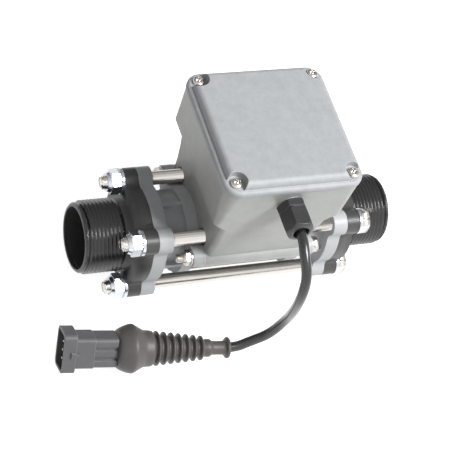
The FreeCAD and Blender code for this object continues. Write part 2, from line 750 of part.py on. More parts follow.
def make_boot():
    """Rubber boot: end bead, neck, bellows and wide cup."""
    bead = boot_end_len * 0.3
    profile = [(0, 0), (0, boot_end_r - bead), (bead, boot_end_r), (boot_end_len - bead, boot_end_r),
               (boot_end_len, boot_end_r - bead), (boot_end_len, boot_neck_r), (boot_neck_end, boot_neck_r),
               (boot_neck_end, boot_collar_r), (bellows_start, boot_collar_r)]
    for i in range(bellows_count):
        share = i / (bellows_count - 1)
        crest = bellows_first_r + share * (bellows_last_r - bellows_first_r)
        middle = bellows_start + bellows_pitch * (i + 0.5)
        profile += [(middle - 0.25, crest), (middle + 0.25, crest), (middle + bellows_pitch / 2, crest - bellows_depth)]
    bellows_end = bellows_start + bellows_pitch * bellows_count
    lip = cup_r - cup_lip_r
    profile += [(bellows_end + lip * 0.2, cup_start_r), (cup_cone_at, cup_start_r), (cup_at - lip * 0.3, cup_r - lip * 0.1),
                (cup_at, cup_r), (cup_at + lip * 0.8, cup_r - lip * 0.2), (cup_end - lip * 0.5, cup_lip_r),
                (cup_end, cup_end_r), (cup_end, 0)]
    boot = turned(profile)
    boot = boot.cut(rod(boot_bore_r, 0, boot_bore_len))
    return boot.cut(rod(plug_tail_r + slip, cup_end - plug_tail_len, cup_end))


def plug_block(width, height, radius, start, end):
    """Block of the connector with rounded edges along its length."""
    wire = rounded_rectangle(height / 2, width / 2, radius, start)
    block = Part.Face(wire).extrude(V(0, 0, end - start))
    block.rotate(V(0, 0, 0), Y_AXIS, 90)
    return block


def make_connector():
    """Sealed connector: round tail in the boot, grooved rear, middle block and open collar."""
    rear_end = cup_end + plug_rear_len
    mid_end = rear_end + plug_mid_len
    collar_end = mid_end + collar_len
    tail = rod(plug_tail_r, cup_end - plug_tail_len, cup_end)
    rear = plug_block(plug_w, plug_h, plug_corner_r, cup_end, rear_end)
    grooves = []
    for side in (-1, 1):
        for at in (-plug_groove_at, plug_groove_at):
            grooves.append(Part.makeBox(plug_rear_len, plug_groove_w, plug_groove,
                                        V(cup_end, at - plug_groove_w / 2,
                                          side * (plug_h - plug_groove) / 2 - plug_groove / 2)))
    rear = rear.cut(Part.makeCompound(grooves))
    middle = plug_block(plug_w + 2 * plug_step, plug_h + 2 * plug_step, plug_corner_r, rear_end, mid_end)
    lug = Part.makePolygon([V(mid_end - lug_len / 3, 0, 0), V(mid_end + lug_len * 2 / 3, lug_w / 2, 0),
                            V(mid_end + lug_len * 2 / 3, -lug_w / 2, 0), V(mid_end - lug_len / 3, 0, 0)])
    lug = Part.Face(lug).extrude(V(0, 0, collar_h / 2 + lug_h))
    collar = plug_block(collar_w, collar_h, plug_corner_r + 0.6, mid_end, collar_end)
    socket = plug_block(collar_w - 2 * collar_wall, collar_h - 2 * collar_wall, plug_corner_r,
                        mid_end + collar_wall, collar_end)
    body = fuse_all([tail, rear, middle, collar, lug])
    holes = [rod(pin_r, mid_end, mid_end + collar_wall, y, 0) for y in pin_places]
    return body.cut(socket).cut(Part.makeCompound(holes))


def make_pins():
    """Contact pins in the open collar."""
    start = cup_end + plug_rear_len + plug_mid_len
    return Part.makeCompound([rod(pin_r, start, start + collar_wall + pin_len, y, 0) for y in pin_places])


# ---------------------------------------------------------------- stations that need the sizes above
support_start = rotor_len / 2 + rotor_gap
snap_start = half_housing - snap_inset
vane_len = snap_start - support_start
board_screw_len = 6.0
gland_face = wall_y(gland_z) - gland_seat_t
gland_wall_t = gland_seat_t + wall_t + gland_pad_t
pin_places = [pin_pitch * (i - (pin_count - 1) / 2) for i in range(pin_count)]

os.makedirs("parts", exist_ok=True)
saved = {}

nipple = make_nipple()
save("inlet_nipple", mirrored(nipple))
save("outlet_nipple", nipple)
body_piece = make_body()
save("inlet_body", mirrored(body_piece))
save("outlet_body", body_piece)
flange_seal = make_flange_seal()
save("flange_seals", Part.makeCompound([flange_seal, mirrored(flange_seal)]))
save("flow_tube", make_flow_tube())
tube_seal = make_tube_seal()
save("tube_seals", Part.makeCompound([tube_seal, mirrored(tube_seal)]))

save("sensor_housing", make_housing())
save("lid_gasket", make_gasket())
save("lid", make_lid())
save("lid_screws", Part.makeCompound(
    [upright_screw(x, y, rim_top, lid_screw_r, lid_rim_t + gasket_t + lid_screw_len, lid_head_r, lid_head_h, 1.0)
     for x, y in corner_places]))

tie_seat = outer_face + tie_washer_t
tie_length = 2 * tie_seat + tie_end - tie_washer_t
save("tie_bolts", Part.makeCompound(
    [x_bolt(tie_r, tie_head_af, tie_head_h, tie_seat, tie_length, y, z) for y, z in rod_places]))
tie_washers = Part.makeCompound(
    [pipe(tie_washer_r, tie_r + slip, outer_face, tie_seat, y, z) for y, z in rod_places])
save("tie_head_washers", tie_washers)
save("tie_nut_washers", mirrored(tie_washers))
save("tie_nuts", Part.makeCompound(
    [locking_nut(tie_head_af, tie_r + slip, -tie_seat, tie_nut_h, y, z) for y, z in rod_places]))

clamp_seat = ear_face + clamp_washer_t
clamp_length = 2 * clamp_seat + clamp_end - clamp_washer_t
save("clamp_bolts", Part.makeCompound(
    [x_bolt(clamp_r, clamp_head_af, clamp_head_h, clamp_seat, clamp_length, y, z) for y, z in clamp_places]))
clamp_washers = Part.makeCompound(
    [pipe(clamp_washer_r, clamp_r + slip, ear_face, clamp_seat, y, z) for y, z in clamp_places])
save("clamp_washers", Part.makeCompound([clamp_washers, mirrored(clamp_washers)]))
save("clamp_nuts", Part.makeCompound(
    [locking_nut(clamp_head_af, clamp_r + slip, -clamp_seat, clamp_nut_h, y, z) for y, z in clamp_places]))

save("rotor", make_rotor())
save("rotor_shaft", rod(shaft_r, -rotor_len / 2 - shaft_overhang, rotor_len / 2 + shaft_overhang))
save("inlet_straightener", mirrored(make_support(True)))
save("outlet_support", make_support(False))
bush = make_bush()
save("rotor_bushes", Part.makeCompound([bush, mirrored(bush)]))
snap_ring = make_snap_ring()
save("snap_rings", Part.makeCompound([snap_ring, mirrored(snap_ring)]))

save("pickup_sensor", make_pickup())
save("circuit_board", make_board())
save("board_screws", Part.makeCompound(
    [upright_screw(x, y, board_z + board_t, board_screw_r, board_t + board_screw_len, board_head_r,
                   board_head_h, 0.7) for x, y in post_places]))
save("gland_body", along_gland(make_gland_body()))
save("gland_seal", along_gland(make_gland_seal()))
save("gland_nut", along_gland(make_gland_nut()))
save("gland_locknut", along_gland(make_gland_locknut()))

save_placed("cable", make_cable())
save_placed("connector_boot", along_boot(make_boot()))
save_placed("connector_housing", along_boot(make_connector(), plug_roll))
save_placed("contact_pins", along_boot(make_pins(), plug_roll))

print(len(saved), "nodes,", sum(saved.values()), "solids")
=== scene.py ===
"""Turbine flow meter: the looks of a clamped pipe section with a cast sensor box and a cable.

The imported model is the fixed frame.  This file adds the threads, the rubber boot, the cable and
the finishes, and sets up a plain studio.  All lengths are in metres; the pipe runs along X.
"""
import json
import logging
import math
from dataclasses import dataclass
from enum import Enum
from typing import Callable, Iterable

import bpy
from mathutils import Matrix, Vector

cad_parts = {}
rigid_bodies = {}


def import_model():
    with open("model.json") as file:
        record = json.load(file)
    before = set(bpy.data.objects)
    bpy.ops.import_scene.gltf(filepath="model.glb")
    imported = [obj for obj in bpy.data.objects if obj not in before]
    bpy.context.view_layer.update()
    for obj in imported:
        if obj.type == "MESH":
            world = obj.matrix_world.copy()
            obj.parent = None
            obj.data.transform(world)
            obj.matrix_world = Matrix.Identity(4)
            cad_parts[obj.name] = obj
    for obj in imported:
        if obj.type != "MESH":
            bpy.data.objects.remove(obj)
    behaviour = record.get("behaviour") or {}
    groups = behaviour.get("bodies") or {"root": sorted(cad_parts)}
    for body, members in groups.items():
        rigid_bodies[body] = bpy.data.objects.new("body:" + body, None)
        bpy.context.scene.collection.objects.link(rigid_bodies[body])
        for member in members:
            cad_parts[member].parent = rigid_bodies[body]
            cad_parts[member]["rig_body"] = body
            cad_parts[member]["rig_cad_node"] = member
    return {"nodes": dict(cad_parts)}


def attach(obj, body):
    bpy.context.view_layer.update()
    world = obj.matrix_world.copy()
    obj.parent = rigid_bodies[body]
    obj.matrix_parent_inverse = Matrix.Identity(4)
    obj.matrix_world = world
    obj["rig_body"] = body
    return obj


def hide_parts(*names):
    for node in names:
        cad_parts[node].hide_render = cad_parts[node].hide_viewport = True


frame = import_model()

logging.basicConfig(level=logging.INFO, format="%(message)s")
log = logging.getLogger("flow_meter")

AXIS_HEIGHT = 0.0289
METER_BODY = "meter"
MERGE_GAP = 1e-6
COPY_MERGE_GAP = 2e-6

# A thread's ridge: shares of the pitch along the axis and of the depth outwards, step by step.
THREAD_PROFILE = ((0.12, 0.0), (0.3, 1.0), (0.16, 0.0), (0.3, -1.0), (0.12, 0.0))
THREAD_RUN_OUT = 0.25    # share of the pitch that is sunk at each end
THREAD_TRIM = 0.2        # share of the pitch that stays beyond each end
THREAD_SINK = 0.02       # how far the ends go under the groove, as a share of the crest radius

Point = tuple[float, float, float]
Colour = tuple[float, float, float]
Span = tuple[float, float]


# ---------------------------------------------------------------- working at the bench
def deselect_all() -> None:
    """Leave object mode's selection empty."""
    bpy.ops.object.select_all(action="DESELECT")


def take(piece: bpy.types.Object) -> None:
    """Make one piece the only selected and active one.

    Args:
        piece: The object to work on.
    """
    deselect_all()
    piece.hide_set(False)
    piece.select_set(True)
    bpy.context.view_layer.objects.active = piece


def into_edit(piece: bpy.types.Object, selection: str = "DESELECT") -> None:
    """Open a piece in edit mode to work on its vertices.

    Args:
        piece: The object to open.
        selection: SELECT to begin with everything selected, DESELECT with nothing.
    """
    take(piece)
    bpy.ops.object.mode_set(mode="EDIT")
    bpy.ops.mesh.select_mode(type="VERT")
    bpy.ops.mesh.select_all(action=selection)


def leave_edit() -> None:
    """Close edit mode."""
    bpy.ops.object.mode_set(mode="OBJECT")


def pick_vertices(piece: bpy.types.Object, wanted: Callable[[Vector], bool]) -> int:
    """Select the vertices at certain places, and end in edit mode.

    Args:
        piece: The object to select on.
        wanted: A test of a vertex's place.

    Returns:
        How many vertices are selected.
    """
    into_edit(piece)
    leave_edit()
    chosen = [vertex for vertex in piece.data.vertices if wanted(vertex.co)]
    for vertex in chosen:
        vertex.select = True
    bpy.ops.object.mode_set(mode="EDIT")
    return len(chosen)


def place_at(piece: bpy.types.Object, place: Point | Vector, turn: float = 0.0) -> None:
    """Turn a piece about Z, move it to its place and put both into its mesh.

    Args:
        piece: The object, made round the origin.
        place: Where its origin goes.
        turn: The angle in radians.
    """
    piece.rotation_euler = (0, 0, turn)
    piece.location = place
    take(piece)
    bpy.ops.object.transform_apply(location=True, rotation=True, scale=True)


def join_onto(body: bpy.types.Object, parts: Iterable[bpy.types.Object]) -> None:
    """Join parts onto a body, which keeps its name.

    Args:
        body: The object that stays.
        parts: The objects that become part of it.
    """
    deselect_all()
    for part in (body, *parts):
        part.select_set(True)
    bpy.context.view_layer.objects.active = body
    bpy.ops.object.join()


def rename(piece: bpy.types.Object, name: str) -> bpy.types.Object:
    """Name a piece and its mesh alike.

    Args:
        piece: The object.
        name: The name for both.

    Returns:
        The same object.
    """
    piece.name = name
    piece.data.name = name
    return piece


def apply_modifier(piece: bpy.types.Object, kind: str, **settings: object) -> None:
    """Add a modifier, set it and apply it.

    Args:
        piece: The object that gets it.
        kind: The modifier's type.
        **settings: Its settings by name.
    """
    take(piece)
    bpy.ops.object.modifier_add(type=kind)
    modifier = piece.modifiers[-1]
    for key, value in settings.items():
        setattr(modifier, key, value)
    bpy.ops.object.modifier_apply(modifier=modifier.name)


def settle(piece: bpy.types.Object, name: str, angle: float) -> bpy.types.Object:
    """Merge a finished piece's mesh, point its faces outwards, shade it and name it.

    Args:
        piece: The finished object.
        name: Its name.
        angle: Edges sharper than this many degrees stay sharp.

    Returns:
        The same object.
    """
    take(piece)
    bpy.ops.object.transform_apply(location=True, rotation=True, scale=True)
    into_edit(piece, "SELECT")
    bpy.ops.mesh.remove_doubles(threshold=MERGE_GAP)
    bpy.ops.mesh.normals_make_consistent(inside=False)
    leave_edit()
    bpy.ops.object.shade_smooth_by_angle(angle=math.radians(angle))
    return rename(piece, name)


def copy_node(node: str, name: str) -> bpy.types.Object:
    """A merged copy of a solid of the frame, to be worked on and to stand for it.

    Args:
        node: The solid's name in the frame.
        name: The new piece's name.

    Returns:
        The new object, riding on nothing yet.
    """
    take(frame["nodes"][node])
    bpy.ops.object.duplicate(linked=False)
    piece = bpy.context.view_layer.objects.active
    piece.parent = None
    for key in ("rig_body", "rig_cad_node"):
        if key in piece:
            del piece[key]
    into_edit(piece, "SELECT")
    bpy.ops.mesh.remove_doubles(threshold=COPY_MERGE_GAP)
    leave_edit()
    return rename(piece, name)


def lathe_from_ring(rings: Iterable[Span], segments: int) -> bpy.types.Object:
    """A closed turned form along +X, drawn out ring by ring from a circle.

    Args:
        rings: (station, radius) pairs from one end to the other.
        segments: Points in each ring.

    Returns:
        The new object, still at the bench.
    """
    rings = list(rings)
    deselect_all()
    start, radius = rings[0]
    bpy.ops.mesh.primitive_circle_add(vertices=segments, radius=radius, fill_type="NGON",
                                      location=(start, 0, 0), rotation=(0, math.pi / 2, 0))
    piece = bpy.context.view_layer.objects.active
    bpy.ops.object.transform_apply(location=True, rotation=True, scale=True)
    bpy.ops.object.mode_set(mode="EDIT")
    bpy.ops.mesh.select_mode(type="FACE")
    bpy.ops.mesh.select_all(action="SELECT")
    for station, new_radius in rings[1:]:
        bpy.ops.mesh.extrude_region_move(TRANSFORM_OT_translate={"value": (station - start, 0, 0)})
        scale = new_radius / radius
        bpy.ops.transform.resize(value=(1, scale, scale), center_override=(station, 0, 0))
        start, radius = station, new_radius
    leave_edit()
    return piece


def thread_sleeve(start: float, end: float, crest: float, root: float, pitch: float,
                  steps: int) -> bpy.types.Object:
    """A helical thread along X round the X axis, sunk at both ends.

    Args:
        start: Where the thread begins.
        end: Where it ends.
        crest: Radius of the ridges.
        root: Radius of the grooves.
        pitch: Distance between ridges.
        steps: Segments in each turn.

    Returns:
        The new object, still at the bench.
    """
    deselect_all()
    bpy.ops.mesh.primitive_plane_add(size=pitch, location=(0, 0, 0))
    piece = bpy.context.view_layer.objects.active
    into_edit(piece, "SELECT")
    bpy.ops.mesh.merge(type="CENTER")
    bpy.ops.transform.translate(value=(start - pitch / 2, 0, root))
    depth = crest - root
    for along, out in THREAD_PROFILE:
        bpy.ops.mesh.extrude_region_move(TRANSFORM_OT_translate={"value": (along * pitch, 0, out * depth)})
    leave_edit()
    turns = math.ceil((end - start) / pitch) + 1
    apply_modifier(piece, "SCREW", axis="X", angle=2 * math.pi, screw_offset=pitch, iterations=turns,
                   steps=steps, render_steps=steps, use_merge_vertices=True, merge_threshold=MERGE_GAP)
    sunk = (root - THREAD_SINK * crest) / crest
    run_out, trim = THREAD_RUN_OUT * pitch, THREAD_TRIM * pitch
    for beyond in (lambda co: co.x < start + run_out, lambda co: co.x > end - run_out):
        pick_vertices(piece, beyond)
        bpy.ops.transform.resize(value=(1, sunk, sunk), center_override=(start, 0, 0))
        leave_edit()
    for plane, at_start in ((start - trim, True), (end + trim, False)):
        into_edit(piece, "SELECT")
        bpy.ops.mesh.bisect(plane_co=(plane, 0, 0), plane_no=(1, 0, 0), use_fill=False,
                            clear_inner=at_start, clear_outer=not at_start)
        leave_edit()
    return piece


def carry(piece: bpy.types.Object, finish: "Finish", slot: str, body: str,
          *stands_for: str) -> bpy.types.Object:
    """Give a piece its finish, the solids it stands for and the body it rides on.

    Args:
        piece: The finished object.
        finish: What it is made of.
        slot: The record's material slot; not used.
        body: The body it moves with.
        *stands_for: Solids of the frame that it replaces.

    Returns:
        The same object.
    """
    piece.data.materials.clear()
    piece.data.materials.append(finish.material())
    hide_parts(*stands_for)
    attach(piece, body)
    log.info("piece %s on %s", piece.name, body)
    return piece


# ---------------------------------------------------------------- finishes
GRAIN_DETAIL = 5.0
MOTTLE_DETAIL = 3.0
NOISE_ROUGHNESS = 0.6
NOISE_SPREAD = (0.3, 0.7)      # where nearly all of the noise lies
SPECK_SPREAD = (0.35, 0.5)     # the low end of the grain makes specks
SPECK_SHARE = 0.5
EDGE_HIGHLIGHT_SPREAD = (0.995, 0.9)     # how far the rounded normal turns where the painted edge highlight begins and is full
BEVEL_SAMPLES = 6
MIX_SHARE, MIX_FIRST, MIX_LAST, MIX_RESULT = 0, 6, 7, 2     # the colour mix node's sockets


def opaque(colour: Iterable[float]) -> tuple[float, ...]:
    """A colour with full cover.

    Args:
        colour: Red, green and blue.

    Returns:
        The colour with its fourth number.
    """
    return (*colour, 1.0)


def feed(tree: bpy.types.NodeTree, socket: bpy.types.NodeSocket, source: object) -> None:
    """Link a socket to another one, or give it a plain value.

    Args:
        tree: The node tree.
        socket: The input.
        source: An output socket, a number or a colour.
    """
    if isinstance(source, bpy.types.NodeSocket):
        tree.links.new(source, socket)
    else:
        socket.default_value = source


def stretched(tree: bpy.types.NodeTree, value: bpy.types.NodeSocket, source: Span,
              target: tuple[object, object]) -> bpy.types.NodeSocket:
    """A value carried from one range to another.

    Args:
        tree: The node tree.
        value: The value.
        source: The ends of the range that it comes from.
        target: The ends of the range that it goes to, as numbers or sockets.

    Returns:
        The new value.
    """
    node = tree.nodes.new("ShaderNodeMapRange")
    for key, end in zip(("From Min", "From Max", "To Min", "To Max"), (*source, *target)):
        feed(tree, node.inputs[key], end)
    tree.links.new(value, node.inputs["Value"])
    return node.outputs["Result"]


class Grain(Enum):
    """How a surface is broken up, as the stretch of its grain along X, Y and Z."""

    EVEN = (1.0, 1.0, 1.0)
    DRAWN_ALONG_PIPE = (0.04, 1.0, 1.0)


@dataclass(frozen=True)
class Finish:
    """A surface: its colour, its shine and the fine grain that breaks it up.

    Sizes are in metres.  colour is the main colour, and the second colour is the paler one painted onto edges
    as a highlight.
    """

    name: str
    colour: Colour
    edge_highlight_colour: Colour
    roughness: float
    metallic: float = 0.0
    grain: Grain = Grain.EVEN
    grain_size: float = 0.0004
    grain_depth: float = 0.00003
    mottle: float = 0.08
    mottle_size: float = 0.012
    roughness_swing: float = 0.1
    edge_radius: float = 0.0004
    # How strongly edges are lightened as a painted highlight.
    edge_highlight_share: float = 0.5
    coat: float = 0.0

    def material(self) -> bpy.types.Material:
        """The finish as a material, made once and shared.

        Returns:
            The material.
        """
        full_name = self.name + "_finish"
        known = bpy.data.materials.get(full_name)
        if known is not None:
            return known
        made = bpy.data.materials.new(full_name)
        made.use_nodes = True
        tree = made.node_tree
        shader = tree.nodes["Principled BSDF"]
        shader.inputs["Metallic"].default_value = self.metallic
        shader.inputs["Coat Weight"].default_value = self.coat
        place = tree.nodes.new("ShaderNodeTexCoord").outputs["Object"]
        grain = self._noise(tree, place, self.grain_size, GRAIN_DETAIL)
        mottle = self._noise(tree, place, self.mottle_size, MOTTLE_DETAIL)
        rounded = self._rounded_edges(tree)
        tree.links.new(self._bump(tree, grain, rounded), shader.inputs["Normal"])
        tree.links.new(self._colour(tree, mottle, grain, rounded), shader.inputs["Base Color"])
        swing = (self.roughness - self.roughness_swing, self.roughness + self.roughness_swing)
        tree.links.new(stretched(tree, grain, NOISE_SPREAD, swing), shader.inputs["Roughness"])
        return made

    def _noise(self, tree: bpy.types.NodeTree, place: bpy.types.NodeSocket, size: float,
               detail: float) -> bpy.types.NodeSocket:
        """Noise of a certain size, stretched by the grain."""
        mapping = tree.nodes.new("ShaderNodeMapping")
        mapping.inputs["Scale"].default_value = self.grain.value
        noise = tree.nodes.new("ShaderNodeTexNoise")
        noise.inputs["Scale"].default_value = 1.0 / size
        noise.inputs["Detail"].default_value = detail
        noise.inputs["Roughness"].default_value = NOISE_ROUGHNESS
        tree.links.new(place, mapping.inputs["Vector"])
        tree.links.new(mapping.outputs["Vector"], noise.inputs["Vector"])
        return noise.outputs["Fac"]

    def _rounded_edges(self, tree: bpy.types.NodeTree) -> bpy.types.NodeSocket:
        """A surface normal that rounds every edge a little."""
        rounded = tree.nodes.new("ShaderNodeBevel")
        rounded.samples = BEVEL_SAMPLES
        rounded.inputs["Radius"].default_value = self.edge_radius
        return rounded.outputs["Normal"]

    def _bump(self, tree: bpy.types.NodeTree, height: bpy.types.NodeSocket,
              normal: bpy.types.NodeSocket) -> bpy.types.NodeSocket:
        """The grain's relief on top of the rounded normal."""
        bump = tree.nodes.new("ShaderNodeBump")
        bump.inputs["Strength"].default_value = 1.0
        bump.inputs["Distance"].default_value = self.grain_depth
        tree.links.new(height, bump.inputs["Height"])
        tree.links.new(normal, bump.inputs["Normal"])
        return bump.outputs["Normal"]

    def _mix(self, tree: bpy.types.NodeTree, share: bpy.types.NodeSocket, first: object,
             last: object) -> bpy.types.NodeSocket:
        """Two colours, or colour sockets, mixed by a share."""
        mix = tree.nodes.new("ShaderNodeMix")
        mix.data_type = "RGBA"
        tree.links.new(share, mix.inputs[MIX_SHARE])
        feed(tree, mix.inputs[MIX_FIRST], first)
        feed(tree, mix.inputs[MIX_LAST], last)
        return mix.outputs[MIX_RESULT]

    def _colour(self, tree: bpy.types.NodeTree, mottle: bpy.types.NodeSocket, grain: bpy.types.NodeSocket,
                rounded: bpy.types.NodeSocket) -> bpy.types.NodeSocket:
        """The main colour, mottled, specked by the grain and lightened at the edges as a painted highlight.
        """
        dark = opaque(c * (1 - self.mottle) for c in self.colour)
        light = opaque(min(1.0, c * (1 + self.mottle)) for c in self.colour)
        speck = opaque(c * (1 - 2 * self.mottle) for c in self.colour)
        body = self._mix(tree, stretched(tree, mottle, NOISE_SPREAD, (0.0, 1.0)), dark, light)
        body = self._mix(tree, stretched(tree, grain, SPECK_SPREAD, (SPECK_SHARE, 0.0)), body, speck)
        geometry = tree.nodes.new("ShaderNodeNewGeometry")
        turn = tree.nodes.new("ShaderNodeVectorMath")
        turn.operation = "DOT_PRODUCT"
        tree.links.new(rounded, turn.inputs[0])
        tree.links.new(geometry.outputs["Normal"], turn.inputs[1])
        # Painted highlight: at edges, where the rounded normal turns from the true one, the colour goes over
        # to the paler edge colour.
        edge_highlight = stretched(tree, turn.outputs["Value"], EDGE_HIGHLIGHT_SPREAD, (0.0, self.edge_highlight_share))
        return self._mix(tree, edge_highlight, body, opaque(self.edge_highlight_colour))


# Each finish's second colour is the paler one painted onto its edges as a highlight.
CAST_SILVER = Finish("cast_silver", (0.425, 0.434, 0.416), (0.6, 0.615, 0.605), 0.48, metallic=0.2,
                     grain_size=0.0006, grain_depth=0.00007, mottle=0.07, mottle_size=0.009,
                     edge_radius=0.0007)
LID_SILVER = Finish("lid_silver", (0.445, 0.46, 0.475), (0.6, 0.62, 0.65), 0.6, metallic=0.08,
                    grain_size=0.0006, grain_depth=0.00004, mottle=0.07, mottle_size=0.005,
                    edge_radius=0.0007)
# The nipples' black nylon in two tones: the flange's lighter tone is a painted sheen on its rim, and the
# thread's darker tone is painted shade in its grooves; the thread's lower roughness is its real gloss.
BLACK_NYLON = Finish("black_nylon", (0.062, 0.061, 0.06), (0.18, 0.175, 0.17), 0.4, mottle=0.15,
                     grain_depth=0.00002, edge_radius=0.0006)
SHADED_THREAD_NYLON = Finish("shaded_thread_nylon", (0.03, 0.029, 0.029), (0.11, 0.107, 0.105), 0.2, mottle=0.1,
                      grain_depth=0.000006, roughness_swing=0.05, edge_radius=0.0002, edge_highlight_share=0.7)
FLANGE_GREY = Finish("moulded_grey", (0.54, 0.55, 0.565), (0.7, 0.71, 0.73), 0.45, mottle=0.06,
                     grain_depth=0.00003, edge_radius=0.0005, edge_highlight_share=0.6)
DRAWN_STEEL = Finish("drawn_stainless", (0.62, 0.59, 0.56), (0.8, 0.79, 0.77), 0.22, metallic=1.0,
                     grain=Grain.DRAWN_ALONG_PIPE, grain_size=0.0006, grain_depth=0.000006, mottle=0.06)
BRIGHT_ZINC = Finish("bright_zinc", (0.6, 0.64, 0.68), (0.9, 0.92, 0.95), 0.18, metallic=1.0,
                     grain_size=0.0003, grain_depth=0.000001, mottle=0.05, roughness_swing=0.04,
                     edge_radius=0.0003)
WARM_ZINC = Finish("warm_zinc", (0.56, 0.525, 0.48), (0.8, 0.77, 0.72), 0.26, metallic=1.0,
                   grain_size=0.0003, grain_depth=0.000001, mottle=0.1, roughness_swing=0.04,
                   edge_radius=0.0003)
SEAL_RUBBER = Finish("seal_rubber", (0.025, 0.025, 0.025), (0.06, 0.06, 0.06), 0.6, grain_depth=0.00001)
BOOT_RUBBER = Finish("boot_rubber", (0.1, 0.09, 0.087), (0.2, 0.185, 0.18), 0.46, mottle=0.14,
                     grain_size=0.0006, grain_depth=0.00004)
CABLE_JACKET = Finish("cable_jacket", (0.018, 0.018, 0.019), (0.06, 0.06, 0.06), 0.28, mottle=0.1,
                      grain_depth=0.000004, roughness_swing=0.04, coat=0.4)
GLAND_NYLON = Finish("gland_nylon", (0.045, 0.045, 0.047), (0.2, 0.2, 0.205), 0.3, mottle=0.1,
                     grain_depth=0.000006, roughness_swing=0.05, edge_radius=0.0005)
PLUG_NYLON = Finish("plug_nylon", (0.125, 0.125, 0.131), (0.36, 0.36, 0.37), 0.46, mottle=0.08,
                    grain_size=0.0005, grain_depth=0.00003, edge_radius=0.0005)
PIN_BRASS = Finish("pin_brass", (0.75, 0.6, 0.32), (0.9, 0.8, 0.5), 0.25, metallic=1.0, grain_depth=0.000005)
VANE_PLASTIC = Finish("vane_plastic", (0.3, 0.3, 0.32), (0.45, 0.45, 0.46), 0.45, grain_depth=0.00001)
ROTOR_PLASTIC = Finish("rotor_plastic", (0.72, 0.73, 0.7), (0.85, 0.85, 0.84), 0.4, grain_depth=0.00001)
BUSH_CARBON = Finish("bush_carbon", (0.05, 0.05, 0.05), (0.12, 0.12, 0.12), 0.35, grain_depth=0.000005)
PICKUP_SHELL = Finish("pickup_shell", (0.04, 0.04, 0.05), (0.12, 0.12, 0.13), 0.3, grain_depth=0.000005)
BOARD_LAMINATE = Finish("board_laminate", (0.02, 0.17, 0.07), (0.25, 0.4, 0.25), 0.3, grain_size=0.001,
                        grain_depth=0.00001, coat=0.3)


# ---------------------------------------------------------------- camera and studio
@dataclass
class Viewpoint:
    """Where the camera stands, as turns round a target on the pipe axis; angles in degrees."""

    turn: float = -38.733
    rise: float = 50.5
    roll: float = 25.995
    distance: float = 1.062
    aside: float = -0.001746
    above: float = -0.002051
    lens: float = 145.4
    sensor: float = 36.0
    sight: float = 20.0

    def build(self) -> bpy.types.Object:
        """Make the camera and use it.

        Returns:
            The camera.
        """
        turn, rise, roll = (math.radians(a) for a in (self.turn, self.rise, self.roll))
        back = Vector((math.sin(turn) * math.cos(rise), -math.cos(turn) * math.cos(rise), math.sin(rise)))
        level = Vector((0, 0, 1)).cross(back).normalized()
        upright = back.cross(level)
        right = math.cos(roll) * level + math.sin(roll) * upright
        top = -math.sin(roll) * level + math.cos(roll) * upright
        place = back * self.distance + right * self.aside + top * self.above + Vector((0, 0, AXIS_HEIGHT))
        data = bpy.data.cameras.new("viewpoint")
        data.lens = self.lens
        data.sensor_width = self.sensor
        data.clip_end = self.sight
        camera = bpy.data.objects.new("viewpoint", data)
        bpy.context.scene.collection.objects.link(camera)
        camera.matrix_world = Matrix.Translation(place) @ Matrix((right, top, back)).transposed().to_4x4()
        bpy.context.scene.camera = camera
        return camera


